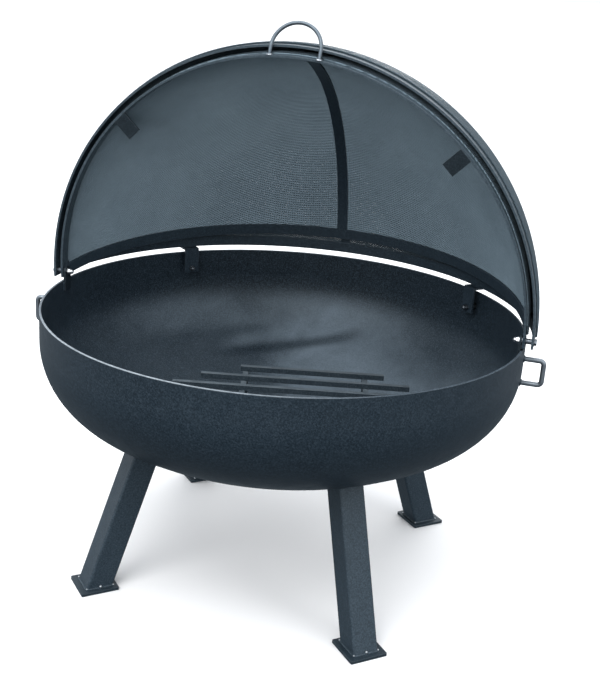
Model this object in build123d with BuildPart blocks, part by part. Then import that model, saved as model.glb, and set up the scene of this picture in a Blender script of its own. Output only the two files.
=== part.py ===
from build123d import *
import os
from math import sin, cos, sqrt, radians

os.makedirs("parts", exist_ok=True)

# ---------------------------------------------------------------- dimensions
# bowl: 42 in dished shell of 3/16 in plate
bowl_y = -12.0            # bowl axis, a little forward of the middle of the footprint
bowl_r = 533.4            # outside radius of the straight wall
wall = 4.8                # plate thickness
rim_z = 605.8             # rim above the ground
wall_h = 66.0             # straight wall below the rim
knuckle_r = 183.1         # outside knuckle radius
crown_r = 853.0           # outside crown radius

# legs and feet: 2 1/4 in square tube on plain square plates
leg_w = 58.0
leg_wall = 3.2
leg_splay = 0.3484        # inward run per unit of rise
leg_feet = {              # azimuth and radius of each foot about the bowl axis
    "rear_right": (45.0, 434.2),
    "rear_left": (135.0, 434.2),
    "front_left": (225.0, 434.2),
    "front_right": (313.9, 439.5),
}
foot_w = 84.7
foot_t = 6.35

# lifting handles on the wall: 7/16 in round bar
lift_d = 11.1
lift_top = 571.0
lift_bottom = 517.0
lift_reach = 576.0        # bar centre from the bowl axis
lift_bend = 9.0
lift_az = (188.5, 2.0)    # left, right

# pivot of the two screen halves
pivot_y = bowl_y - 30.0
pivot_z = 625.7
bolt_d = 7.94
eye_d = bolt_d + 0.12
hex_af = 12.7
bracket_w = 25.4
bracket_in = 522.0        # inner face of the pivot bracket from the middle plane
bracket_t = 4.8
bracket_drop = 26.0       # bracket below the rim
washer_d = 18.0
washer_t = 2.1
spacer_d = 12.0

# screen strips: 1 in x 3/16 in flat bar rolled to the sphere
strip_w = 25.4
strip_t = 4.8
front_r = 529.2           # inside radius of the front half
rear_r = 547.2            # inside radius of the rear half
mesh_t = 1.2
front_ring_e = 94.6       # elevations about the pivot axis, from the rear horizontal
front_arch_e = 5.3
rear_ring_e = 0.9
rear_arch_e = 92.25
mesh_tuck = 0.8           # mesh edge beyond the strip centre line, degrees
mesh_pole = 3.0           # mesh stops short of the pivots, degrees
front_rib_x = -9.0        # the ribs sit a little to the left of the middle
rear_rib_x = -3.0

# screen handles: 5/16 in rod
rod_d = 7.94
rod_half = 52.5           # half spacing of the feet
front_leg = 15.5          # straight leg below the half round bow
rear_leg = 14.0
front_lean = 27.0
rear_lean = 58.0
front_foot_z = 7.0        # foot offset toward the free edge of the ring
rear_foot_z = 0.0
front_hand_x = 11.5        # the front handle sits a little to the right of the middle
rear_hand_x = 0.0

# rest tabs of the front half
tab_w = 32.0
tab_in = 481.0

# rest brackets of the rear half
rest_w = 38.0
rest_in = 505.2           # inner face of the upright leg from the bowl axis
rest_out = 540.0
rest_top = rim_z + 13.9
rest_low = rim_z - 50.0
rest_bolt_z = rim_z - 39.0
rest_az = (136.7, 45.0)   # left, right

# log grate: 1/2 in square bar
bar = 12.7
grate_x = 52.2
grate_y = bowl_y + 24.3
grate_az = 15.9
grate_top = 414.5
bar_pitch = 64.0
bar_len = (345.0, 491.0, 600.0, 491.0, 345.0)
bar_shift = (0.0, 0.0, -4.0, 0.5, 16.5)   # the bars are not quite in line
cross_u = 143.0
cross_len = 282.0
foot_v = 110.0
foot_gap = 0.4

pivot = Vector(0, pivot_y, pivot_z)
crown_z = rim_z - wall_h + sqrt((crown_r - knuckle_r) ** 2 - (bowl_r - knuckle_r) ** 2)


# ------------------------------------------------------------------- helpers
def direction(e):
    return Vector(0, cos(radians(e)), sin(radians(e)))


def across(e):
    return Vector(0, -sin(radians(e)), cos(radians(e)))


def strip_plane(e):
    # plane through the pivot axis; local y points to the middle of the strip
    return Plane(origin=pivot, x_dir=(1, 0, 0), z_dir=across(e))


def side_plane(x, s):
    # upright plane square to the pivot axis, on the left (-1) or right (+1)
    return Plane(origin=(s * x, pivot_y, pivot_z), x_dir=(0, s, 0), z_dir=(s, 0, 0))


def radial(az):
    return Vector(cos(radians(az)), sin(radians(az)), 0)


def radial_plane(az, r, z):
    # plane facing away from the bowl axis; local y is up
    d = radial(az)
    return Plane(origin=Vector(0, bowl_y, z) + d * r,
                 x_dir=(-sin(radians(az)), cos(radians(az)), 0), z_dir=d)


def upright_plane(az):
    # plane holding the bowl axis; local x is outward, local y is up
    d = radial(az)
    return Plane(origin=(0, bowl_y, 0), x_dir=d,
                 z_dir=(sin(radians(az)), -cos(radians(az)), 0))


def bowl_point(radius_k, a):
    # points of the dished profile at angle a below the horizontal
    return ((bowl_r - knuckle_r) + radius_k * cos(radians(a)),
            rim_z - wall_h - radius_k * sin(radians(a)))


def crown_point(radius_c, r):
    return (r, crown_z - sqrt(radius_c ** 2 - r ** 2))


# junction of knuckle and crown
_jx = (bowl_r - knuckle_r) / (crown_r - knuckle_r)
_jz = (crown_z - rim_z + wall_h) / (crown_r - knuckle_r)
joint_out = (_jx * crown_r, crown_z - _jz * crown_r)
joint_in = (_jx * (crown_r - wall), crown_z - _jz * (crown_r - wall))
bowl_axis = Axis((0, bowl_y, 0), (0, 0, 1))

# --------------------------------------------------------------------- bowl
# solid form of the outside, used to cope the legs and trim the handles
with BuildPart() as bowl_form:
    with BuildSketch(upright_plane(0)):
        with BuildLine():
            Line((0, rim_z), (bowl_r, rim_z))
            Line((bowl_r, rim_z), (bowl_r, rim_z - wall_h))
            ThreePointArc((bowl_r, rim_z - wall_h), bowl_point(knuckle_r, 31), joint_out)
            ThreePointArc(joint_out, crown_point(crown_r, 220), (0, crown_z - crown_r))
            Line((0, crown_z - crown_r), (0, rim_z))
        make_face()
    revolve(axis=bowl_axis)

with BuildPart() as bowl_shell:
    with BuildSketch(upright_plane(0)):
        with BuildLine():
            Line((bowl_r - wall, rim_z), (bowl_r, rim_z))
            Line((bowl_r, rim_z), (bowl_r, rim_z - wall_h))
            ThreePointArc((bowl_r, rim_z - wall_h), bowl_point(knuckle_r, 31), joint_out)
            ThreePointArc(joint_out, crown_point(crown_r, 220), (0, crown_z - crown_r))
            Line((0, crown_z - crown_r), (0, crown_z - crown_r + wall))
            ThreePointArc((0, crown_z - crown_r + wall), crown_point(crown_r - wall, 220), joint_in)
            ThreePointArc(joint_in, bowl_point(knuckle_r - wall, 31),
                          (bowl_r - wall, rim_z - wall_h))
            Line((bowl_r - wall, rim_z - wall_h), (bowl_r - wall, rim_z))
        make_face()
    revolve(axis=bowl_axis)
    fillet(bowl_shell.edges().group_by(Axis.Z)[-1], radius=1.0)
    # bolt holes of the rest brackets
    for az in rest_az:
        with BuildSketch(radial_plane(az, 500, rest_bolt_z)):
            Circle(bolt_d / 2 + 0.03)
        extrude(amount=60, mode=Mode.SUBTRACT)
bowl_shell.part.label = "bowl_shell"
export_step(bowl_shell.part, "parts/bowl_shell.step")

# ---------------------------------------------------------- legs and feet
for where, (az, foot_radius) in leg_feet.items():
    d = radial(az)
    foot = Vector(0, bowl_y, 0) + d * foot_radius
    tangent = Vector(-sin(radians(az)), cos(radians(az)), 0)
    rise = (Vector(0, 0, 1) - d * leg_splay).normalized()
    with BuildPart() as leg:
        with BuildSketch(Plane(origin=foot, x_dir=tangent, z_dir=rise)):
            RectangleRounded(leg_w, leg_w, 5.0)
            RectangleRounded(leg_w - 2 * leg_wall, leg_w - 2 * leg_wall, 2.2, mode=Mode.SUBTRACT)
        extrude(amount=420)
        with BuildSketch(Plane(origin=foot, x_dir=tangent, z_dir=rise)):
            RectangleRounded(leg_w, leg_w, 5.0)
            RectangleRounded(leg_w - 2 * leg_wall, leg_w - 2 * leg_wall, 2.2, mode=Mode.SUBTRACT)
        extrude(amount=-40)
        with BuildSketch(Plane(origin=foot + Vector(0, 0, foot_t))):
            Rectangle(300, 300)
        extrude(amount=-120, mode=Mode.SUBTRACT)
        add(bowl_form.part, mode=Mode.SUBTRACT)
    leg.part.label = "leg_" + where
    export_step(leg.part, "parts/leg_" + where + ".step")

    with BuildPart() as plate:
        with BuildSketch(Plane(origin=foot, x_dir=d, z_dir=(0, 0, 1))):
            RectangleRounded(foot_w, foot_w, 3.0)
        extrude(amount=foot_t)
    plate.part.label = "foot_plate_" + where
    export_step(plate.part, "parts/foot_plate_" + where + ".step")

# ------------------------------------------------------- lifting handles
for az, where in zip(lift_az, ("left", "right")):
    up = upright_plane(az)
    with BuildPart() as lift:
        with BuildLine(up) as lift_path:
            FilletPolyline((524, lift_top), (lift_reach, lift_top),
                           (lift_reach, lift_bottom), (524, lift_bottom), radius=lift_bend)
        with BuildSketch(radial_plane(az, 524, lift_top)):
            Circle(lift_d / 2)
        sweep(path=lift_path.wires()[0])
        add(bowl_form.part, mode=Mode.SUBTRACT)
    lift.part.label = "bowl_handle_" + where
    export_step(lift.part, "parts/bowl_handle_" + where + ".step")

# ------------------------------------------------------- pivot brackets
bracket_out = bracket_in + bracket_t
for s, where in ((-1, "left"), (1, "right")):
    with BuildPart() as bracket:
        with BuildSketch(side_plane(bracket_in, s)):
            with Locations((0, -(pivot_z - rim_z + bracket_drop) / 2)):
                Rectangle(bracket_w, pivot_z - rim_z + bracket_drop)
            Circle(bracket_w / 2)
            Circle(bolt_d / 2, mode=Mode.SUBTRACT)
        extrude(amount=bracket_t)
        # weld pad that fills the gap between the flat plate and the round wall
        with BuildSketch(side_plane(bracket_in + 1.0, s)):
            with Locations((0, -(pivot_z - rim_z) - bracket_drop / 2 - 1.5)):
                Rectangle(bracket_w, bracket_drop - 3.0)
        extrude(amount=7.5)
        add(bowl_shell.part, mode=Mode.SUBTRACT)
    bracket.part.label = "pivot_bracket_" + where
    export_step(bracket.part, "parts/pivot_bracket_" + where + ".step")

# ------------------------------------------------------- pivot hardware
front_out = front_r + strip_t
rear_out = rear_r + strip_t
head_t = 5.2
nut_t = 6.5
dome_r = hex_af / 2 - 0.4


def hexagon_radius(af):
    return af / sqrt(3)


with BuildPart() as pivot_bolts:
    for s in (-1, 1):
        with BuildSketch(side_plane(bracket_in - 12.0, s)):
            Circle(bolt_d / 2)
        extrude(amount=rear_out - bracket_in + 12.0)
        with BuildSketch(side_plane(rear_out, s)):
            RegularPolygon(hexagon_radius(hex_af), 6)
        extrude(amount=head_t)
pivot_bolts.part.label = "pivot_bolts"
export_step(pivot_bolts.part, "parts/pivot_bolts.step")

with BuildPart() as pivot_nuts:
    for s in (-1, 1):
        with BuildSketch(side_plane(bracket_in, s)):
            RegularPolygon(hexagon_radius(hex_af), 6)
        extrude(amount=-nut_t)
        with BuildSketch(side_plane(bracket_in, s)):
            Circle(dome_r)
        extrude(amount=-nut_t - 2.0)
        with Locations((s * (bracket_in - nut_t - 2.0), pivot_y, pivot_z)):
            Sphere(dome_r)
        with BuildSketch(side_plane(bracket_in, s)):
            Circle(bolt_d / 2)
        extrude(amount=-12.0, mode=Mode.SUBTRACT)
pivot_nuts.part.label = "pivot_nuts"
export_step(pivot_nuts.part, "parts/pivot_nuts.step")

with BuildPart() as pivot_washers:
    for s in (-1, 1):
        with BuildSketch(side_plane(bracket_out, s)):
            Circle(washer_d / 2)
            Circle(bolt_d / 2, mode=Mode.SUBTRACT)
        extrude(amount=washer_t)
pivot_washers.part.label = "pivot_washers"
export_step(pivot_washers.part, "parts/pivot_washers.step")

with BuildPart() as pivot_spacers:
    for s in (-1, 1):
        with BuildSketch(side_plane(front_out + 0.3, s)):
            Circle(spacer_d / 2)
            Circle(bolt_d / 2, mode=Mode.SUBTRACT)
        extrude(amount=rear_r - front_out - 0.35)
pivot_spacers.part.label = "pivot_spacers"
export_step(pivot_spacers.part, "parts/pivot_spacers.step")


# --------------------------------------------------------- screen halves
for half, r, ring_e, arch_e, toward, hole_d, lean, foot_z, rod_leg, hand_x, sink, rib_x in (
        ("rear", rear_r, rear_ring_e, rear_arch_e, -1, bolt_d, rear_lean, -rear_foot_z,
         rear_leg, rear_hand_x, -11.0, rear_rib_x),
        ("front", front_r, front_ring_e, front_arch_e, 1, eye_d, -front_lean, front_foot_z,
         front_leg, front_hand_x, -6.5, front_rib_x)):
    out = r + strip_t
    mesh_r = sqrt(out ** 2 + (strip_w / 2) ** 2)

    # arch strip from pivot to pivot, with the pivot eyes
    with BuildPart() as arch:
        with BuildSketch(strip_plane(arch_e)):
            Circle(out)
            Circle(r, mode=Mode.SUBTRACT)
            with Locations((0, -out)):
                Rectangle(3 * out, 2 * out, mode=Mode.SUBTRACT)
            with Locations((r + strip_t / 2, -strip_w / 4), (-r - strip_t / 2, -strip_w / 4)):
                Rectangle(strip_t, strip_w / 2)
        extrude(amount=strip_w / 2, both=True)
        with BuildSketch(side_plane(0, 1)):
            Circle(hole_d / 2)
        extrude(amount=rear_out + 10, both=True, mode=Mode.SUBTRACT)
    arch.part.label = half + "_arch"
    export_step(arch.part, "parts/" + half + "_arch.step")

    # base ring strip, butted against the edge of the arch strip
    edge = Plane(origin=pivot + across(arch_e) * (toward * strip_w / 2), z_dir=across(arch_e) * toward)
    with BuildPart() as ring:
        with BuildSketch(strip_plane(ring_e)):
            Circle(out)
            Circle(r, mode=Mode.SUBTRACT)
            with Locations((0, -out)):
                Rectangle(3 * out, 2 * out, mode=Mode.SUBTRACT)
        extrude(amount=strip_w / 2, both=True)
        split(bisect_by=edge, keep=Keep.TOP)
    ring.part.label = half + "_base_ring"
    export_step(ring.part, "parts/" + half + "_base_ring.step")

    # centre rib between ring and arch
    dome_side = -1 if half == "front" else 1
    ring_edge = Plane(origin=pivot + across(ring_e) * (dome_side * strip_w / 2),
                      z_dir=across(ring_e) * dome_side)
    rib_out = sqrt(mesh_r ** 2 - (abs(rib_x) + strip_w / 2) ** 2)
    with BuildPart() as rib:
        with BuildSketch(Plane(origin=pivot + Vector(rib_x, 0, 0), x_dir=(0, 1, 0), z_dir=(1, 0, 0))):
            Circle(rib_out)
            Circle(rib_out - strip_t, mode=Mode.SUBTRACT)
        extrude(amount=strip_w / 2, both=True)
        split(bisect_by=edge, keep=Keep.TOP)
        split(bisect_by=ring_edge, keep=Keep.TOP)
    rib.part.label = half + "_rib"
    export_step(rib.part, "parts/" + half + "_rib.step")

    # woven mesh laid over the outside of the strips, as a thin sheet
    low_e = min(ring_e, arch_e) + mesh_tuck
    high_e = max(ring_e, arch_e) - mesh_tuck
    with BuildPart() as mesh:
        with BuildSketch(strip_plane(low_e)):
            with BuildLine():
                a = CenterArc((0, 0), mesh_r, mesh_pole, 180 - 2 * mesh_pole)
                b = CenterArc((0, 0), mesh_r + mesh_t, mesh_pole, 180 - 2 * mesh_pole)
                Line(a @ 0, b @ 0)
                Line(a @ 1, b @ 1)
            make_face()
        revolve(axis=Axis(pivot, (1, 0, 0)), revolution_arc=high_e - low_e)
    mesh.part.label = half + "_mesh"
    export_step(mesh.part, "parts/" + half + "_mesh.step")

    # rod handle, leaning toward the arch side
    d_y = direction(ring_e)
    d_z = across(ring_e)
    reach = d_y * cos(radians(lean)) + d_z * sin(radians(lean))
    seat = pivot + d_y * out + d_z * foot_z + Vector(hand_x, 0, 0)
    hand = Plane(origin=seat, x_dir=(1, 0, 0), z_dir=Vector(1, 0, 0).cross(reach))
    with BuildPart() as handle:
        with BuildLine(hand) as rod_path:
            l1 = Line((-rod_half, sink), (-rod_half, rod_leg))
            l2 = ThreePointArc((-rod_half, rod_leg), (0, rod_leg + rod_half), (rod_half, rod_leg))
            l3 = Line((rod_half, rod_leg), (rod_half, sink))
        with BuildSketch(Plane(origin=seat + Vector(-rod_half, 0, 0) + reach * sink,
                               x_dir=(1, 0, 0), z_dir=reach)):
            Circle(rod_d / 2)
        sweep(path=rod_path.wires()[0])
        with BuildSketch(strip_plane(ring_e)):
            Circle(out)
        extrude(amount=strip_w, both=True, mode=Mode.SUBTRACT)
    handle.part.label = half + "_handle"
    export_step(handle.part, "parts/" + half + "_handle.step")

    if half == "rear":
        rear_ring = ring.part
    else:
        front_ring = ring.part

# rest tabs of the front half, flush with the free edge of its ring
for az, where in ((135, "left"), (45, "right")):
    with BuildPart() as tab:
        with BuildSketch(strip_plane(front_ring_e).offset(strip_w / 2)):
            with PolarLocations((tab_in + front_r + 2.4) / 2, 1, start_angle=az):
                Rectangle(front_r + 2.4 - tab_in, tab_w)
        extrude(amount=-strip_t)
        add(front_ring, mode=Mode.SUBTRACT)
    tab.part.label = "front_tab_" + where
    export_step(tab.part, "parts/front_tab_" + where + ".step")

# --------------------------------------------- rest brackets of the rear half
for az, where in zip(rest_az, ("left", "right")):
    with BuildPart() as rest:
        with BuildSketch(radial_plane(az, rest_in, 0)):
            with Locations((0, (rest_top + rest_low) / 2)):
                Rectangle(rest_w, rest_top - rest_low)
            with Locations((0, rest_bolt_z)):
                Circle(bolt_d / 2, mode=Mode.SUBTRACT)
        extrude(amount=strip_t)
        with BuildSketch(radial_plane(az, rest_in, 0)):
            with Locations((0, rest_top - strip_t / 2)):
                Rectangle(rest_w, strip_t)
        extrude(amount=rest_out - rest_in)
        add(rear_ring, mode=Mode.SUBTRACT)
    rest.part.label = "rest_bracket_" + where
    export_step(rest.part, "parts/rest_bracket_" + where + ".step")

with BuildPart() as rest_spacers:
    for az in rest_az:
        with BuildSketch(radial_plane(az, rest_in + strip_t, rest_bolt_z)):
            Circle(8.0)
            Circle(bolt_d / 2, mode=Mode.SUBTRACT)
        extrude(amount=bowl_r - 2.0 - rest_in - strip_t)
    add(bowl_shell.part, mode=Mode.SUBTRACT)
rest_spacers.part.label = "rest_spacers"
export_step(rest_spacers.part, "parts/rest_spacers.step")

with BuildPart() as rest_bolts:
    for az in rest_az:
        with BuildSketch(radial_plane(az, rest_in - 12.0, rest_bolt_z)):
            Circle(bolt_d / 2)
        extrude(amount=bowl_r - rest_in + 12.0)
        with BuildSketch(radial_plane(az, bowl_r, rest_bolt_z)):
            RegularPolygon(hexagon_radius(hex_af), 6)
        extrude(amount=head_t)
rest_bolts.part.label = "rest_bolts"
export_step(rest_bolts.part, "parts/rest_bolts.step")

with BuildPart() as rest_nuts:
    for az in rest_az:
        with BuildSketch(radial_plane(az, rest_in, rest_bolt_z)):
            RegularPolygon(hexagon_radius(hex_af), 6)
        extrude(amount=-nut_t)
        with BuildSketch(radial_plane(az, rest_in, rest_bolt_z)):
            Circle(dome_r)
        extrude(amount=-nut_t - 2.0)
        with Locations(Vector(0, bowl_y, rest_bolt_z) + radial(az) * (rest_in - nut_t - 2.0)):
            Sphere(dome_r)
        with BuildSketch(radial_plane(az, rest_in, rest_bolt_z)):
            Circle(bolt_d / 2)
        extrude(amount=-12.0, mode=Mode.SUBTRACT)
rest_nuts.part.label = "rest_nuts"
export_step(rest_nuts.part, "parts/rest_nuts.step")

# ------------------------------------------------------------------ log grate
grate_u = radial(grate_az)


def grate_plane(z):
    return Plane(origin=(grate_x, grate_y, z), x_dir=grate_u, z_dir=(0, 0, 1))


for i, length in enumerate(bar_len):
    with BuildPart() as rod:
        with BuildSketch(grate_plane(grate_top)):
            with Locations((bar_shift[i], (i - 2) * bar_pitch)):
                Rectangle(length, bar)
        extrude(amount=-bar)
        fillet(rod.edges(), radius=0.8)
    rod.part.label = "grate_bar_%d" % (i + 1)
    export_step(rod.part, "parts/grate_bar_%d.step" % (i + 1))

for s, where in ((-1, "left"), (1, "right")):
    with BuildPart() as cross:
        with BuildSketch(grate_plane(grate_top - bar)):
            with Locations((s * cross_u, 0)):
                Rectangle(bar, cross_len)
        extrude(amount=-bar)
    cross.part.label = "grate_cross_" + where
    export_step(cross.part, "parts/grate_cross_" + where + ".step")

with BuildPart() as feet:
    with BuildSketch(grate_plane(grate_top - 2 * bar)):
        with GridLocations(2 * cross_u, 2 * foot_v, 2, 2):
            Rectangle(bar, bar)
    extrude(amount=-140)
    with Locations((0, bowl_y, crown_z)):
        Sphere(crown_r - wall - foot_gap, mode=Mode.INTERSECT)
feet.part.label = "grate_feet"
export_step(feet.part, "parts/grate_feet.step")
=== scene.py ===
import math

import bpy
import numpy as np
from mathutils import Matrix, Vector


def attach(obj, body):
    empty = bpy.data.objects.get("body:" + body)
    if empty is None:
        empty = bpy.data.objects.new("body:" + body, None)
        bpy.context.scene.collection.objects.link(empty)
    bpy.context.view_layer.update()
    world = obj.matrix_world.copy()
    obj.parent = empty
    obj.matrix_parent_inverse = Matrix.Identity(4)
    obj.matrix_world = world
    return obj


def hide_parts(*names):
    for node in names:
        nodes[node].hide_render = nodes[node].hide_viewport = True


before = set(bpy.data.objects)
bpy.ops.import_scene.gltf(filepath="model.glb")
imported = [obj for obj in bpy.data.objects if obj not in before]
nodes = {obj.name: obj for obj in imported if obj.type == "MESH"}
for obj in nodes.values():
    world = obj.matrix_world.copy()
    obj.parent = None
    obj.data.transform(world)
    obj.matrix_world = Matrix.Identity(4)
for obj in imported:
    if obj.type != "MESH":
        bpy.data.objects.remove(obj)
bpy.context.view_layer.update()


scene = bpy.context.scene
MM = 0.001

# ------------------------------------------------------------- dimensions, mm
BOWL_Y = -12.0
BOWL_R = 533.4
WALL = 4.8
RIM_Z = 605.8
CROWN_R = 853.0
CROWN_Z = 1110.81
PIVOT = np.array([0.0, BOWL_Y - 30.0, 625.7])
STRIP_W, STRIP_T = 25.4, 4.8
FRONT_R, REAR_R = 529.2, 547.2
FRONT_RING, FRONT_ARCH = 94.6, 5.3
REAR_RING, REAR_ARCH = 0.9, 92.25
ROD_HALF, ROD_R = 52.5, 3.97
FOOT_T, LEG_W, SPLAY = 6.35, 58.0, 0.3484
FEET = ((45.0, 434.2), (135.0, 434.2), (225.0, 434.2), (313.9, 439.5))


def direction(e):
    e = math.radians(e)
    return np.array([0.0, math.cos(e), math.sin(e)])


def across(e):
    e = math.radians(e)
    return np.array([0.0, -math.sin(e), math.cos(e)])


def radial(az):
    a = math.radians(az)
    return np.array([math.cos(a), math.sin(a), 0.0])


def unit(v):
    return v / np.linalg.norm(v)


# ------------------------------------------------------------------ materials
class Tree:
    """Small helper that lays out a node material."""

    def __init__(self, name):
        self.mat = bpy.data.materials.new(name)
        self.mat.use_nodes = True
        self.t = self.mat.node_tree
        self.t.nodes.clear()
        self.out = self.t.nodes.new("ShaderNodeOutputMaterial")
        self.bsdf = self.t.nodes.new("ShaderNodeBsdfPrincipled")
        self.t.links.new(self.bsdf.outputs["BSDF"], self.out.inputs["Surface"])
        self.co = self.t.nodes.new("ShaderNodeTexCoord").outputs["Object"]

    def link(self, a, b):
        self.t.links.new(a, b)

    def noise(self, scale, detail=3.0, rough=0.55, distort=0.0, co=None):
        n = self.t.nodes.new("ShaderNodeTexNoise")
        n.inputs["Scale"].default_value = scale
        n.inputs["Detail"].default_value = detail
        n.inputs["Roughness"].default_value = rough
        n.inputs["Distortion"].default_value = distort
        self.link(self.co if co is None else co, n.inputs["Vector"])
        return n.outputs["Fac"]

    def span(self, src, lo, hi, a, b, smooth=False):
        n = self.t.nodes.new("ShaderNodeMapRange")
        if smooth:
            n.interpolation_type = "SMOOTHSTEP"
        n.inputs["From Min"].default_value = lo
        n.inputs["From Max"].default_value = hi
        n.inputs["To Min"].default_value = a
        n.inputs["To Max"].default_value = b
        n.clamp = True
        self.link(src, n.inputs["Value"])
        return n.outputs["Result"]

    def ramp(self, src, stops):
        n = self.t.nodes.new("ShaderNodeValToRGB")
        r = n.color_ramp
        while len(r.elements) < len(stops):
            r.elements.new(0.5)
        for el, (p, c) in zip(r.elements, stops):
            el.position = p
            el.color = (*c, 1.0)
        self.link(src, n.inputs["Fac"])
        return n.outputs["Color"]

    def mix(self, fac, a, b, mode="MIX"):
        n = self.t.nodes.new("ShaderNodeMix")
        n.data_type = "RGBA"
        n.blend_type = mode
        for key, val in ((0, fac), (6, a), (7, b)):
            if isinstance(val, (int, float)):
                n.inputs[key].default_value = val
            elif isinstance(val, tuple):
                n.inputs[key].default_value = (*val, 1.0)
            else:
                self.link(val, n.inputs[key])
        return n.outputs[2]

    def math(self, op, a, b):
        n = self.t.nodes.new("ShaderNodeMath")
        n.operation = op
        for i, val in enumerate((a, b)):
            if isinstance(val, (int, float)):
                n.inputs[i].default_value = val
            else:
                self.link(val, n.inputs[i])
        return n.outputs[0]

    def bump(self, height, strength, distance, normal=None):
        n = self.t.nodes.new("ShaderNodeBump")
        n.inputs["Strength"].default_value = strength
        n.inputs["Distance"].default_value = distance
        self.link(height, n.inputs["Height"])
        if normal is not None:
            self.link(normal, n.inputs["Normal"])
        return n.outputs["Normal"]

    def bevel(self, radius):
        n = self.t.nodes.new("ShaderNodeBevel")
        n.samples = 4
        n.inputs["Radius"].default_value = radius
        return n.outputs["Normal"]

    def edge(self, rounded):
        """1 on a sharp edge, 0 on flat faces."""
        g = self.t.nodes.new("ShaderNodeNewGeometry")
        d = self.t.nodes.new("ShaderNodeVectorMath")
        d.operation = "DOT_PRODUCT"
        self.link(rounded, d.inputs[0])
        self.link(g.outputs["Normal"], d.inputs[1])
        return self.span(d.outputs["Value"], 0.93, 0.995, 1.0, 0.0)


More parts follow.
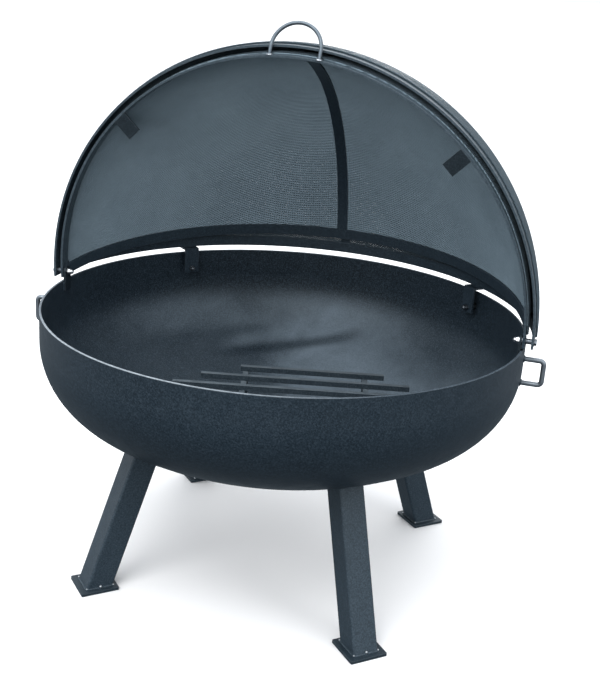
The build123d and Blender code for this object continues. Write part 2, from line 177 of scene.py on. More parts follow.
def powder_coat(name, dark, light, worn_and_lit_edge, rough=(0.42, 0.60), spec=0.5, edge=True, radius=0.0012, rim=None, ash_and_light=None, dust_and_lit_tops=None,
                grit=1.0):
    m = Tree(name)
    pale = tuple(1.5 * c + 0.5 * sum(light) / 3 for c in light)
    grain = m.noise(1300.0, 2.0, 0.6)
    sand = m.noise(300.0, 3.0, 0.75)
    orange = m.noise(420.0, 2.0, 0.5)
    cloud = m.noise(5.5, 4.0, 0.6, 0.4)
    patch = m.noise(38.0, 4.0, 0.65)
    base = m.ramp(m.math("ADD", m.math("MULTIPLY", cloud, 0.6), m.math("MULTIPLY", patch, 0.4)),
                  [(0.32, dark), (0.68, light)])
    base = m.mix(m.span(sand, 0.33, 0.50, 0.70 * grit, 0.0), base, tuple(c * 0.30 for c in dark))
    base = m.mix(m.span(sand, 0.50, 0.67, 0.0, 0.80 * grit), base, pale)
    speck = m.span(grain, 0.56, 0.72, 0.0, 0.25 * grit)
    colour = m.mix(speck, base, pale)
    r = m.math("ADD", m.span(patch, 0.3, 0.7, rough[0], rough[1]), m.span(sand, 0.3, 0.7, -0.06, 0.06))
    if ash_and_light is not None:
        # pale patches where the inside faces up, thickest towards the back: partly ash, mostly painted light pools, cut
        # by a painted shadow of the top hoop and a painted shadow of the rib, with a painted highlight ridge beside the
        # hoop's shadow
        g = m.t.nodes.new("ShaderNodeNewGeometry")
        face = m.t.nodes.new("ShaderNodeSeparateXYZ")
        m.link(g.outputs["Normal"], face.inputs["Vector"])
        nz = face.outputs["Z"]
        at = m.t.nodes.new("ShaderNodeSeparateXYZ")
        m.link(m.co, at.inputs["Vector"])
        x, y = at.outputs["X"], m.math("SUBTRACT", at.outputs["Y"], BOWL_Y * MM)
        # the sandy coat is rougher inside
        outward = m.math("ADD", m.math("MULTIPLY", x, face.outputs["X"]), m.math("MULTIPLY", y, face.outputs["Y"]))
        inner = m.span(m.math("SUBTRACT", nz, m.math("MULTIPLY", outward, 4.0)), 0.0, 0.5, 0.0, 1.0)
        grit_up = m.math("MULTIPLY", inner, m.span(sand, 0.52, 0.68, 0.0, 0.55))
        colour = m.mix(grit_up, colour, tuple(c * 1.8 for c in pale))
        grit_down = m.math("MULTIPLY", inner, m.span(sand, 0.34, 0.49, 0.65, 0.0))
        colour = m.mix(grit_down, colour, tuple(c * 0.2 for c in dark))
        rough_in = m.math("MULTIPLY", sand, inner)
        az = m.math("ARCTAN2", y, x)
        az = m.math("ADD", az, m.span(m.noise(6.0, 3.0, 0.6), 0.3, 0.7, -0.10, 0.10))
        dust_and_light_mix = m.span(nz, 0.13, 0.48, 0.0, 1.0, True)
        slant = m.math("ADD", x, m.math("MULTIPLY", m.math("SUBTRACT", y, 0.5), 0.85))
        slant = m.math("ADD", slant, m.span(m.noise(7.0, 3.0, 0.6), 0.3, 0.7, -0.03, 0.03))
        # painted light pool towards the back of the floor
        painted_light_pool = m.math("MULTIPLY", m.span(slant, -0.02, 0.25, 1.0, 0.0, True), m.span(az, 1.60, 2.10, 1.0, 0.0, True))
        painted_light_pool = m.math("MULTIPLY", painted_light_pool, m.span(y, 0.02, 0.28, 0.0, 1.0, True))
        # painted light pool on the left of the floor
        left = m.span(az, 1.70, 2.20, 0.0, 1.0, True)
        left = m.math("MULTIPLY", left, m.span(az, 2.45, 2.95, 1.0, 0.0, True))
        left = m.math("MULTIPLY", left, m.span(nz, 0.62, 0.82, 1.0, 0.0, True))
        # less of the pale wash on the front side of the floor
        back = m.span(y, -0.15, 0.30, 0.45, 1.0, True)
        amount = m.math("ADD", 0.17, m.math("ADD", m.math("MULTIPLY", painted_light_pool, 0.74), m.math("MULTIPLY", left, 0.32)))
        amount = m.math("MULTIPLY", amount, back)
        # painted shadow of the rib: a dark notch between the two painted light pools
        painted_rib_shadow = m.span(m.math("ABSOLUTE", m.math("SUBTRACT", az, 2.04), 0), 0.02, 0.17, 0.45, 0.0, True)
        painted_rib_shadow = m.math("MULTIPLY", painted_rib_shadow, m.span(nz, 0.40, 0.70, 1.0, 0.0, True))
        # painted shadow of the top hoop: distance from a shallow arc across the floor, with a painted highlight ridge
        # just behind it
        arc = m.math("ADD", 0.455, m.math("MULTIPLY", x, m.math("SUBTRACT", 0.33, m.math("MULTIPLY", x, 0.95))))
        painted_highlight_ridge = m.math("ABSOLUTE", m.math("SUBTRACT", m.math("SUBTRACT", y, arc), 0.043), 0)
        painted_highlight_ridge = m.math("MULTIPLY", m.span(painted_highlight_ridge, 0.004, 0.036, 1.0, 0.0, True),
                      m.span(m.math("ABSOLUTE", m.math("ADD", x, 0.17), 0), 0.05, 0.12, 0.34, 0.0, True))
        painted_hoop_shadow = m.math("ABSOLUTE", m.math("SUBTRACT", y, arc), 0)
        painted_hoop_shadow = m.span(painted_hoop_shadow, 0.002, 0.026, 0.70, 0.0, True)
        painted_hoop_shadow = m.math("MULTIPLY", painted_hoop_shadow, m.span(m.math("ABSOLUTE", m.math("ADD", x, 0.09), 0), 0.10, 0.22, 1.0, 0.0, True))
        amount = m.math("ADD", amount, painted_highlight_ridge)
        # the painted shadows take the pale wash away
        clear = m.math("SUBTRACT", 1.0, m.math("MAXIMUM", painted_rib_shadow, painted_hoop_shadow))
        drift = m.math("ADD", m.math("MULTIPLY", m.noise(11.0, 5.0, 0.65, 0.6), 0.5), m.math("MULTIPLY", sand, 0.5))
        dust_and_light_mix = m.math("MULTIPLY", m.math("MULTIPLY", dust_and_light_mix, amount), m.math("MULTIPLY", clear, m.span(drift, 0.36, 0.64, 0.66, 1.24)))
        colour = m.mix(dust_and_light_mix, colour, ash_and_light)
        r = m.math("ADD", r, m.math("MULTIPLY", dust_and_light_mix, 0.25))
    if dust_and_lit_tops is not None:
        # faces that look up are painted paler: partly dust, partly a painted top light
        g = m.t.nodes.new("ShaderNodeNewGeometry")
        face = m.t.nodes.new("ShaderNodeSeparateXYZ")
        m.link(g.outputs["Normal"], face.inputs["Vector"])
        dust_and_light_mix = m.math("MULTIPLY", m.span(face.outputs["Z"], 0.55, 0.85, 0.0, 1.0), m.span(patch, 0.30, 0.62, 0.45, 0.95))
        colour = m.mix(dust_and_light_mix, colour, dust_and_lit_tops)
        r = m.math("ADD", r, m.math("MULTIPLY", dust_and_light_mix, 0.15))
    rounded = m.bevel(radius) if edge else None
    # sharp edges are mixed towards a pale colour: partly worn coat, partly a painted highlight where light catches the
    # edges
    if edge:
        edge_wear_and_highlight = m.edge(rounded)
        broken = m.span(m.noise(160.0, 3.0, 0.7), 0.38, 0.62, 0.2, 0.9)
        edge_wear_and_highlight = m.math("MULTIPLY", edge_wear_and_highlight, broken)
        colour = m.mix(edge_wear_and_highlight, colour, worn_and_lit_edge)
        r = m.math("SUBTRACT", r, m.math("MULTIPLY", edge_wear_and_highlight, 0.08))
    if rim is not None:
        # the top edge of the rim is painted pale, a painted highlight, strongest on the left and fading towards the
        # right
        sep = m.t.nodes.new("ShaderNodeSeparateXYZ")
        m.link(m.co, sep.inputs["Vector"])
        top = m.span(sep.outputs["Z"], rim - 0.0016, rim - 0.0004, 0.0, 1.0)
        painted_rim_highlight = m.math("MULTIPLY", top, m.span(m.noise(70.0, 4.0, 0.7), 0.30, 0.60, 0.55, 1.0))
        painted_rim_highlight = m.math("MULTIPLY", painted_rim_highlight, m.span(sep.outputs["X"], -0.04, 0.32, 1.0, 0.08))
        painted_rim_highlight = m.math("MULTIPLY", painted_rim_highlight, m.span(sep.outputs["X"], -0.46, -0.36, 0.50, 1.0))
        colour = m.mix(painted_rim_highlight, colour, (0.27, 0.305, 0.335))
    fine = m.bump(grain, 0.22, 0.00035, rounded)
    peel = m.bump(orange, 0.14, 0.0006, fine)
    if ash_and_light is not None:
        peel = m.bump(rough_in, 0.45, 0.0012, peel)
    m.link(colour, m.bsdf.inputs["Base Color"])
    m.link(r, m.bsdf.inputs["Roughness"])
    m.link(peel, m.bsdf.inputs["Normal"])
    m.bsdf.inputs["Specular IOR Level"].default_value = spec
    if rim is not None:
        m.link(m.span(top, 0.0, 1.0, spec, 0.05), m.bsdf.inputs["Specular IOR Level"])
    m.bsdf.inputs["Specular Tint"].default_value = (0.84, 0.95, 1.0, 1.0)
    return m.mat


def bare_steel(name, dark, light, rough=(0.24, 0.42), metallic=1.0):
    m = Tree(name)
    cloud = m.noise(60.0, 4.0, 0.6)
    fine = m.noise(900.0, 2.0, 0.6)
    drawn = m.noise(260.0, 5.0, 0.7, 1.2)
    colour = m.ramp(cloud, [(0.3, dark), (0.7, light)])
    colour = m.mix(m.span(drawn, 0.58, 0.75, 0.0, 0.5), colour, dark)
    m.link(colour, m.bsdf.inputs["Base Color"])
    m.link(m.span(drawn, 0.3, 0.7, rough[0], rough[1]), m.bsdf.inputs["Roughness"])
    m.link(m.bump(fine, 0.10, 0.0002, m.bevel(0.0006)), m.bsdf.inputs["Normal"])
    m.bsdf.inputs["Metallic"].default_value = metallic
    return m.mat


coat_bowl = powder_coat("coat_bowl", (0.0094, 0.0170, 0.0254), (0.0136, 0.0232, 0.0335), (0.10, 0.125, 0.145),
                        rough=(0.34, 0.46), spec=0.38, rim=RIM_Z * MM, ash_and_light=(0.160, 0.205, 0.247))
# a darkened copy of the frame coat for the tabs and pivot brackets: painted shade
coat_tab_shaded = powder_coat("coat_tab_shaded", (0.0050, 0.0095, 0.0135), (0.0080, 0.0135, 0.0185), (0.10, 0.12, 0.135),
                       rough=(0.42, 0.54), spec=0.3, radius=0.0009)
# a lightened copy of the bowl coat for the rest brackets: painted light against the shade under the ring
coat_rest_lightened = powder_coat("coat_rest_lightened", (0.0130, 0.0235, 0.0350), (0.0185, 0.0310, 0.0445), (0.10, 0.125, 0.145),
                        rough=(0.36, 0.48), radius=0.0009)
coat_frame = powder_coat("coat_frame", (0.0115, 0.022, 0.033), (0.018, 0.031, 0.044), (0.15, 0.18, 0.205),
                         rough=(0.40, 0.52), radius=0.0009)
# a lightened copy of the frame coat for the two hoops: painted light against the shade in the slit between them
coat_hoop_lightened = powder_coat("coat_hoop_lightened", (0.024, 0.038, 0.050), (0.034, 0.051, 0.065), (0.15, 0.18, 0.205),
                        rough=(0.42, 0.54), radius=0.0009)
coat_leg = powder_coat("coat_leg", (0.015, 0.027, 0.039), (0.023, 0.037, 0.051), (0.12, 0.145, 0.165),
                       rough=(0.40, 0.54), radius=0.0016)
coat_plate = powder_coat("coat_plate", (0.010, 0.019, 0.027), (0.016, 0.026, 0.036), (0.12, 0.145, 0.165),
                         rough=(0.44, 0.58), spec=0.4, radius=0.0014)
coat_grate = powder_coat("coat_grate", (0.014, 0.023, 0.032), (0.022, 0.033, 0.043), (0.15, 0.175, 0.195),
                         rough=(0.40, 0.56), radius=0.0009, dust_and_lit_tops=(0.105, 0.130, 0.150))
wire = powder_coat("wire_mesh", (0.047, 0.066, 0.081), (0.068, 0.093, 0.112), (0.30, 0.35, 0.39),
                   rough=(0.46, 0.62), spec=0.12, edge=False, grit=0.12)
# a darkened copy of the wire for the rear sheet: painted shade
wire_shaded = powder_coat("wire_mesh_rear", (0.031, 0.044, 0.054), (0.041, 0.057, 0.069), (0.30, 0.35, 0.39),
                       rough=(0.46, 0.62), spec=0.10, edge=False, grit=0.12)
rod = bare_steel("rod_steel", (0.17, 0.195, 0.22), (0.25, 0.28, 0.305), rough=(0.40, 0.56))
rod_dark = bare_steel("rod_dark", (0.085, 0.105, 0.125), (0.135, 0.160, 0.180), rough=(0.42, 0.58))
zinc = bare_steel("zinc_plate", (0.50, 0.52, 0.54), (0.66, 0.68, 0.70), rough=(0.20, 0.36))
# a darkened copy of the zinc plate for the rest, pivot-bolt, washer and spacer hardware: painted shade, set for the
# rest nuts in the screen's shadow
zinc_shaded = bare_steel("zinc_shaded", (0.09, 0.105, 0.12), (0.17, 0.19, 0.21), rough=(0.34, 0.52))
weld = bare_steel("weld_metal", (0.34, 0.37, 0.40), (0.58, 0.61, 0.64), rough=(0.28, 0.48))
weld_coat = powder_coat("weld_coat", (0.018, 0.030, 0.042), (0.026, 0.041, 0.055), (0.09, 0.105, 0.12),
                        rough=(0.32, 0.46), edge=False)


def paint(names, mat):
    for n in names:
        o = nodes[n]
        o.data.materials.clear()
        o.data.materials.append(mat)


SIDES = ("rear_right", "rear_left", "front_left", "front_right")
paint(["bowl_shell"], coat_bowl)
paint(["leg_" + s for s in SIDES], coat_leg)
paint(["foot_plate_" + s for s in SIDES], coat_plate)
paint(["rear_base_ring", "rear_rib", "front_arch", "front_rib"], coat_frame)
paint(["front_base_ring", "rear_arch"], coat_hoop_lightened)
paint(["front_tab_left", "front_tab_right", "pivot_bracket_left", "pivot_bracket_right"], coat_tab_shaded)
paint(["rest_bracket_left", "rest_bracket_right"], coat_rest_lightened)
paint(["bowl_handle_left", "bowl_handle_right"], rod)
paint(["front_handle", "rear_handle"], rod_dark)
paint(["pivot_nuts"], zinc)
paint(["pivot_bolts", "pivot_washers", "pivot_spacers", "rest_bolts", "rest_spacers", "rest_nuts"], zinc_shaded)
paint(["grate_bar_%d" % i for i in range(1, 6)] + ["grate_cross_left", "grate_cross_right", "grate_feet"],
      coat_grate)


# ------------------------------------------------------------------- geometry
def new_piece(name, verts, faces, mat, body, smooth=True):
    me = bpy.data.meshes.new(name)
    verts = np.asarray(verts, np.float64) * MM
    faces = np.asarray(faces, np.int32)
    me.vertices.add(len(verts))
    me.vertices.foreach_set("co", verts.astype(np.float32).ravel())
    me.loops.add(faces.size)
    me.loops.foreach_set("vertex_index", faces.ravel())
    me.polygons.add(len(faces))
    me.polygons.foreach_set("loop_start", np.arange(0, faces.size, 4, dtype=np.int32))
    me.polygons.foreach_set("loop_total", np.full(len(faces), 4, np.int32))
    me.polygons.foreach_set("use_smooth", np.full(len(faces), smooth, bool))
    me.update(calc_edges=True)
    me.validate()
    me.materials.append(mat)
    ob = bpy.data.objects.new(name, me)
    scene.collection.objects.link(ob)
    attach(ob, body)
    return ob


def tube(points, radii, normals, sides, closed=False, phase=0.0):
    """Vertices and quads of a tube along points. Flat quads close the ends of an open four-sided tube."""
    p = np.asarray(points, float)
    n = len(p)
    if closed:
        tan = np.roll(p, -1, 0) - np.roll(p, 1, 0)
    else:
        tan = np.gradient(p, axis=0)
    tan /= np.linalg.norm(tan, axis=1)[:, None]
    nor = normals - tan * np.sum(normals * tan, 1)[:, None]
    nor /= np.linalg.norm(nor, axis=1)[:, None]
    bi = np.cross(tan, nor)
    ang = phase + np.arange(sides) * 2 * math.pi / sides
    ring = (np.cos(ang)[None, :, None] * nor[:, None, :] + np.sin(ang)[None, :, None] * bi[:, None, :])
    v = p[:, None, :] + ring * np.asarray(radii, float).reshape(-1, 1, 1)
    k = np.arange(n if closed else n - 1)
    j = np.arange(sides)
    a = (k[:, None] * sides + j[None, :])
    b = (k[:, None] * sides + (j[None, :] + 1) % sides)
    k2 = (k + 1) % n
    c = (k2[:, None] * sides + (j[None, :] + 1) % sides)
    d = (k2[:, None] * sides + j[None, :])
    f = np.stack([a, b, c, d], -1).reshape(-1, 4)
    if not closed and sides == 4:
        last = (n - 1) * sides
        f = np.vstack([f, [[3, 2, 1, 0]], [[last, last + 1, last + 2, last + 3]]])
    return v.reshape(-1, 3), f


def join(parts):
    vs, fs, base = [], [], 0
    for v, f in parts:
        vs.append(v)
        fs.append(np.asarray(f) + base)
        base += len(v)
    return np.vstack(vs), np.vstack(fs)


# ------------------------------------------------ woven wire of the screen halves
STEP = 18.0


def woven(name, r, e0, e1, turn, pitch, wire_r, side, body, node):
    """Square mesh of crossing wires on a quarter sphere. turn swings the wires in the sheet."""
    mid = (e0 + e1) / 2
    c = direction(mid)
    ct, st = math.cos(math.radians(turn)), math.sin(math.radians(turn))
    ex = np.array([1.0, 0, 0]) * ct + across(mid) * st
    ey = across(mid) * ct - np.array([1.0, 0, 0]) * st
    pole = math.cos(math.radians(3.2))

    def place(a, b):
        rho = np.hypot(a, b)
        th = rho / r
        s = np.where(rho > 1e-9, np.sin(th) / np.maximum(rho, 1e-9), 1.0 / r)
        return (np.cos(th)[..., None] * c + (s * a)[..., None] * ex + (s * b)[..., None] * ey)

    def inside(d):
        e = np.degrees(np.arctan2(d[..., 2], d[..., 1]))
        return (e > e0) & (e < e1) & (np.abs(d[..., 0]) < pole) & (d[..., 0] * side >= 0)

    reach = r * math.pi / 2 + pitch
    count = int(reach / pitch)
    fine = np.arange(-reach, reach, 2.0)
    parts = []
    sides, phase = 6, math.pi / 6
    for family in (0, 1):
        for i in range(-count, count + 1):
            line = np.full(len(fine), (i + 0.5) * pitch)
            d = place(line, fine) if family == 0 else place(fine, line)
            ok = inside(d)
            edge = np.flatnonzero(np.diff(np.r_[0, ok.astype(int), 0]))
            for s, t in zip(edge[0::2], edge[1::2]):
                if t - s < 2:
                    continue
                n = max(2, int(round((t - s - 1) * 2.0 / STEP)) + 1)
                q = np.interp(np.linspace(s, t - 1, n), np.arange(len(fine)), fine)
                w = np.full(n, (i + 0.5) * pitch)
                dd = place(w, q) if family == 0 else place(q, w)
                pts = PIVOT + dd * (r + (0.8 if family == 0 else -0.8))
                parts.append(tube(pts, np.full(n, wire_r), dd, sides, phase=phase))
    v, f = join(parts)
    ob = new_piece(name, v, f, wire if node == "front_mesh" else wire_shaded, body)
    # flat layout of the sheet, so that the colour follows the wires
    d = (v - PIVOT) / np.linalg.norm(v - PIVOT, axis=1)[:, None]
    th = np.arccos(np.clip(d @ c, -1, 1))
    k = th / np.maximum(np.sin(th), 1e-9) * r
    uv = np.stack([(d @ ex) * k, (d @ ey) * k], 1)
    lo, hi = uv.min(0), uv.max(0)
    uv = 0.004 + 0.992 * (uv - lo) / (hi - lo).max()
    loop = np.empty(len(ob.data.loops), np.int32)
    ob.data.loops.foreach_get("vertex_index", loop)
    layer = ob.data.uv_layers.new(name="OFBake")
    layer.data.foreach_set("uv", uv[loop].astype(np.float32).ravel())
    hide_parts(node)
    return ob


TUCK = 0.75
wires = {"front": bpy.data.collections.new("front_wires"), "rear": bpy.data.collections.new("rear_wires")}
for label, r, e0, e1, turn, pitch, wire_r, body in (
        ("front", math.hypot(FRONT_R + STRIP_T, STRIP_W / 2) + 1.25, FRONT_ARCH + TUCK, FRONT_RING - TUCK, 0.0,
         5.2, 1.56, "front_screen"),
        ("rear", math.hypot(REAR_R + STRIP_T, STRIP_W / 2) + 1.25, REAR_RING + TUCK, REAR_ARCH - TUCK, 45.0,
         4.6, 1.96, "base")):
    for side, where in ((-1, "left"), (1, "right")):
        sheet = woven(label + "_weave_" + where, r, e0, e1, turn, pitch, wire_r, side, body, label + "_mesh")
        wires[label].objects.link(sheet)


# --------------------------------------------------------------- weld beads
def bead(points, radius, closed, normals=None, seed=0):
    """A lumpy weld run: even ripples with a little unevenness."""
    p = np.asarray(points, float)
    if closed:
        p = np.vstack([p, p[:1]])
    seg = np.linalg.norm(np.diff(p, axis=0), axis=1)
    s = np.r_[0, np.cumsum(seg)]
    step = radius * 0.42
    n = max(6, int(s[-1] / step))
    q = np.linspace(0, s[-1], n, endpoint=not closed)
    pts = np.stack([np.interp(q, s, p[:, k]) for k in range(3)], 1)
    rng = np.random.default_rng(seed)
    wob = np.interp(q, np.linspace(0, s[-1], max(4, n // 5)), rng.normal(0, 0.07, max(4, n // 5)))
    ripple = 1 + 0.13 * np.abs(np.sin(q / radius * 1.45)) + wob
    if not closed:
        ripple *= np.minimum(1, 0.35 + np.minimum(q, s[-1] - q) / (radius * 1.2))
    ref = np.tile(np.array([0.31, 0.17, 0.93]), (len(pts), 1)) if normals is None else np.tile(normals, (len(pts), 1))
    sides = 4 if radius < 0.5 else 8
    v, f = tube(pts, radius * ripple, ref, sides, closed)
    if not closed:
        m = len(pts) - 1
        caps = [[0, 7, 6, 5], [0, 5, 4, 3], [0, 3, 2, 1], [m * 8, m * 8 + 1, m * 8 + 2, m * 8 + 3],
                [m * 8, m * 8 + 3, m * 8 + 4, m * 8 + 5], [m * 8, m * 8 + 5, m * 8 + 6, m * 8 + 7]]
        f = np.vstack([f, caps])
    return v, f


def around(centre, u, v, ru, rv, n=28):
    a = np.linspace(0, 2 * math.pi, n, endpoint=False)
    return centre + np.cos(a)[:, None] * u * ru + np.sin(a)[:, None] * v * rv


# legs: round the cope under the bowl, and round the foot on its plate
crown_c = np.array([0, BOWL_Y, CROWN_Z])
cope, toe, glint_tacks = [], [], []
for k, (az, foot_r) in enumerate(FEET):
    d = radial(az)
    foot = np.array([0, BOWL_Y, 0]) + d * foot_r
    tx = np.array([-d[1], d[0], 0])
    rise = unit(np.array([0, 0, 1.0]) - d * SPLAY)
    ty = np.cross(rise, tx)
    h, cr = LEG_W / 2, 5.0
    outline = []
    for (sx, sy, a0) in ((1, 1, 0), (-1, 1, 90), (-1, -1, 180), (1, -1, 270)):
        for a in np.radians(np.linspace(a0, a0 + 90, 5)):
            outline.append((sx * (h - cr) + cr * math.cos(a), sy * (h - cr) + cr * math.sin(a)))
    top, low = [], []
    for (u, v) in outline:
        q = foot + tx * u + ty * v
        w = q - crown_c
        b = w @ rise
        disc = b * b - (w @ w - CROWN_R ** 2)
        top.append(q + rise * (-b - math.sqrt(disc)))
        low.append(q + rise * ((FOOT_T - q[2]) / rise[2]))
    cope.append(bead(top, 2.8, True, rise, seed=k))
    toe.append(bead(np.array(low) + [0, 0, 0.4], 2.4, True, np.array([0, 0, 1.0]), seed=10 + k))
    # bright bare-metal tacks at the corners of the tube, and one in the middle of a face: painted glints where light
    # catches the leg's base
    spots = [((h - 1.2) * sx, (h - 1.2) * sy) for sx in (-1, 1) for sy in (-1, 1)]
    spots.append((h, 0.0) if k == 2 else (0.0, -h))
    for j, (u, v) in enumerate(spots):
        q = foot + tx * u + ty * v
        q = q + rise * ((FOOT_T - q[2]) / rise[2])
        away = unit(tx * u + ty * v)
        run = [q + away * 1.6 + [0, 0, 0.4], q + away * 0.9 + rise * (7.0 if j == 4 else 3.6)]
        glint_tacks.append(bead(run, 2.7, False, away, seed=100 + 10 * k + j))
v, f = join(cope + toe)
new_piece("leg_welds", v, f, weld_coat, "base")
v, f = join(glint_tacks)
new_piece("leg_tacks", v, f, weld, "base")

# lifting handles on the wall
parts = []
for k, az in enumerate((188.5, 2.0)):
    d = radial(az)
    t = np.array([-d[1], d[0], 0])
    parts.append(bead(around(np.array([0, BOWL_Y, 571.0]) + d * (BOWL_R + 0.6), t, np.array([0, 0, 1.0]), 6.2, 6.2), 1.7, True, d, 20 + k))
    parts.append(bead(around(np.array([0, BOWL_Y, 517.0]) + d * (532.0 + 0.7), t, unit(np.array([0, 0, 1.0]) + d * 0.12), 6.2, 6.3), 1.7, True, d, 30 + k))
v, f = join(parts)
new_piece("bowl_handle_welds", v, f, weld_coat, "base")


# screen handles
def handle_welds(name, ring_e, out, lean, foot_z, hand_x, body):
    dy, dz = direction(ring_e), across(ring_e)
    reach = dy * math.cos(math.radians(lean)) + dz * math.sin(math.radians(lean))
    parts = []
    for k, s in enumerate((-1, 1)):
        x = hand_x + s * ROD_HALF
        y = math.sqrt(out ** 2 - x ** 2)
        t = (y - out) / math.cos(math.radians(lean))
        p = PIVOT + dy * out + dz * foot_z + np.array([x, 0, 0]) + reach * t
        n = unit(np.array([x, 0, 0]) + dy * y)
        u = unit(np.cross(dz, n))
        parts.append(bead(around(p + n * 0.5, u, dz, ROD_R + 0.9, ROD_R / math.cos(math.radians(lean)) + 0.9), 1.7, True, n, 40 + k))
    v, f = join(parts)
    return new_piece(name, v, f, weld, body)


handle_welds("front_handle_welds", FRONT_RING, FRONT_R + STRIP_T, -27.0, 7.0, 11.5, "front_screen")
handle_welds("rear_handle_welds", REAR_RING, REAR_R + STRIP_T, 58.0, 0.0, 0.0, "base")

# pivot brackets: both edges against the wall
parts = []
for s in (-1, 1):
    for k, off in enumerate((-12.7, 12.7)):
        y = PIVOT[1] + off
        x = s * (math.sqrt((BOWL_R - WALL) ** 2 - (y - BOWL_Y) ** 2) - 0.8)
        zz = np.linspace(RIM_Z - 24.5, RIM_Z - 4, 12)
        parts.append(bead(np.stack([np.full(12, x), np.full(12, y), zz], 1), 1.7, False, np.array([1.0, 0, 0]), 50 + k))
v, f = join(parts)
new_piece("pivot_bracket_welds", v, f, weld_coat, "base")

# rest tabs of the front half, along the ring on the dome side of each tab
parts = []
dy, dz = direction(FRONT_RING), across(FRONT_RING)
for k, a in enumerate((135, 45)):
    aa = np.radians(a) + np.linspace(-15.0, 15.0, 10) / FRONT_R
    pts = PIVOT + (FRONT_R - 0.7) * (np.cos(aa)[:, None] * np.array([1.0, 0, 0]) + np.sin(aa)[:, None] * dy) + dz * (STRIP_W / 2 - STRIP_T - 0.5)
    parts.append(bead(pts, 1.6, False, dz, 60 + k))
v, f = join(parts)
new_piece("front_tab_welds", v, f, weld_coat, "front_screen")

# rest brackets to the rear ring
parts = []
dy, dz = direction(REAR_RING), across(REAR_RING)
for k, az in enumerate((136.7, 45)):
    d = radial(az)
    t = np.array([-d[1], d[0], 0])
    for rr, grow in ((REAR_R, -0.6), (REAR_R + STRIP_T, 0.6)):
        pts = []
        for w in np.linspace(-16, 16, 9):
            # meet of the strip face with the bracket top, walking across the bracket
            lo, hi = 480.0, 600.0
            for _ in range(30):
                m = (lo + hi) / 2
                q = np.array([0, BOWL_Y, 0]) + d * m + t * w - PIVOT
                if math.hypot(q[0], q[1:] @ dy[1:]) < rr + grow:
                    lo = m
                else:
                    hi = m
            q = np.array([0, BOWL_Y, RIM_Z + 14.1]) + d * lo + t * w
            pts.append(q)
        parts.append(bead(pts, 1.5, False, np.array([0, 0, 1.0]), 70 + k))
v, f = join(parts)
new_piece("rest_bracket_welds", v, f, weld_coat, "base")

# grate: tacks where the bars cross the bearers
parts = []
gu = radial(15.9)
gv = np.array([-gu[1], gu[0], 0])
gc = np.array([52.2, BOWL_Y + 24.3, 414.5 - 12.7])
for k, s in enumerate((-143.0, 143.0)):
    for i in range(5):
        for side in (-1, 1):
            mid = gc + gu * (s + side * 6.6) + gv * ((i - 2) * 64.0)
            pts = mid + np.linspace(-5, 5, 6)[:, None] * gv
            parts.append(bead(pts, 1.5, False, np.array([0, 0, 1.0]), 80 + k * 10 + i))
v, f = join(parts)
new_piece("grate_welds", v, f, weld_coat, "log_grate")

# --------------------------------------------------------------------- stage
def plain(name, colour, rough):
    m = Tree(name)
    n = m.noise(3.0, 2.0, 0.5)
    m.link(m.ramp(n, [(0.2, tuple(c * 0.985 for c in colour)), (0.8, colour)]), m.bsdf.inputs["Base Color"])
    m.bsdf.inputs["Roughness"].default_value = rough
    m.bsdf.inputs["Specular IOR Level"].default_value = 0.2
    return m.mat


me = bpy.data.meshes.new("floor")
S = 150.0
me.from_pydata([(-S, -S, -0.0006), (S, -S, -0.0006), (S, S, -0.0006), (-S, S, -0.0006)], [], [(0, 1, 2, 3)])
me.materials.append(plain("floor_pale", (0.94, 0.94, 0.94), 0.7))
floor = bpy.data.objects.new("floor", me)
scene.collection.objects.link(floor)
# the floor shows and takes shadows, and throws no light up under the bowl
floor.visible_diffuse = False
floor.visible_glossy = False

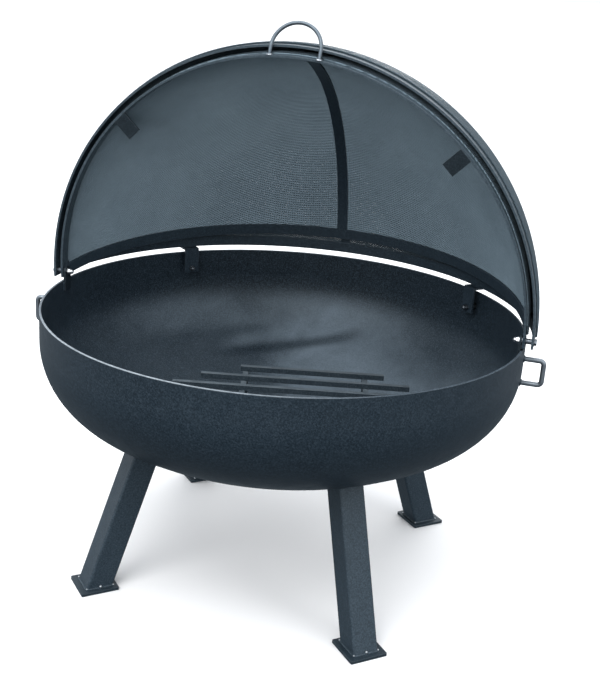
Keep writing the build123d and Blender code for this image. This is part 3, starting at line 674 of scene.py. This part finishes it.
world = bpy.data.worlds.new("studio")
world.use_nodes = True
wt = world.node_tree
bg = wt.nodes["Background"]
bg.inputs["Strength"].default_value = 1.0
wco = wt.nodes.new("ShaderNodeTexCoord")
wsep = wt.nodes.new("ShaderNodeSeparateXYZ")
wramp = wt.nodes.new("ShaderNodeValToRGB")
wt.links.new(wco.outputs["Generated"], wsep.inputs["Vector"])
wmap = wt.nodes.new("ShaderNodeMapRange")
wmap.inputs["From Min"].default_value = -1.0
wmap.inputs["From Max"].default_value = 1.0
wt.links.new(wsep.outputs["Z"], wmap.inputs["Value"])
wt.links.new(wmap.outputs["Result"], wramp.inputs["Fac"])
wel = wramp.color_ramp.elements
wel[0].position, wel[0].color = 0.34, (0.170, 0.205, 0.235, 1.0)
wel[1].position, wel[1].color = 0.488, (0.99, 1.02, 1.06, 1.0)
for at, level in ((0.70, 1.0), (0.90, 1.7)):
    el = wel.new(at)
    el.color = (0.99 * level, 1.02 * level, 1.06 * level, 1.0)
wt.links.new(wramp.outputs["Color"], bg.inputs["Color"])
scene.world = world


def area(name, loc, aim, size, power, size_y=None):
    d = bpy.data.lights.new(name, "AREA")
    d.energy = power
    d.size = size
    if size_y:
        d.shape = "RECTANGLE"
        d.size_y = size_y
    o = bpy.data.objects.new(name, d)
    o.location = loc
    o.rotation_euler = (Vector(aim) - Vector(loc)).to_track_quat("-Z", "Y").to_euler()
    o.visible_camera = False
    scene.collection.objects.link(o)
    return o


area("top_soft", (-0.5, -0.4, 4.4), (0, 0, 0.5), 2.6, 60)
area("front_soft", (-0.8, -3.0, 3.7), (0, 0.15, 0.6), 2.8, 120)
area("back_soft", (0.3, 3.4, 2.9), (0, 0, 0.5), 3.4, 40, 1.6)
area("right_soft", (3.0, -1.4, 2.4), (0, 0, 0.4), 1.4, 25)
# soft fill into the open screen
area("screen_fill", (0.25, -2.6, 1.5), (0, 0.15, 0.95), 1.4, 172).light_linking.receiver_collection = wires["front"]
# the same into the slit between the two hoops
area("slit_fill", (0.75, -2.4, 1.55), (-0.1, 0.1, 1.0), 0.7, 60).light_linking.receiver_collection = wires["rear"]
area("back_fill", (-0.7, 3.0, 1.0), (0, 0.1, 0.85), 1.6, 100).light_linking.receiver_collection = wires["rear"]

# -------------------------------------------------------------------- camera
cam_data = bpy.data.cameras.new("photo_view")
cam_data.lens = 56.02
cam_data.sensor_width = 36.0
cam_data.clip_end = 400.0
cam = bpy.data.objects.new("photo_view", cam_data)
right = (0.95251329, 0.29751398, 0.06483724)
up = (-0.15591923, 0.29365514, 0.94310967)
fwd = (-0.26154852, 0.90843387, -0.32609857)
pos = (0.67927, -2.21348 + BOWL_Y * MM, 1.31317)
cam.matrix_world = Matrix((
    (right[0], up[0], -fwd[0], pos[0]),
    (right[1], up[1], -fwd[1], pos[1]),
    (right[2], up[2], -fwd[2], pos[2]),
    (0, 0, 0, 1)))
scene.collection.objects.link(cam)
scene.camera = cam
scene.view_settings.view_transform = "Standard"
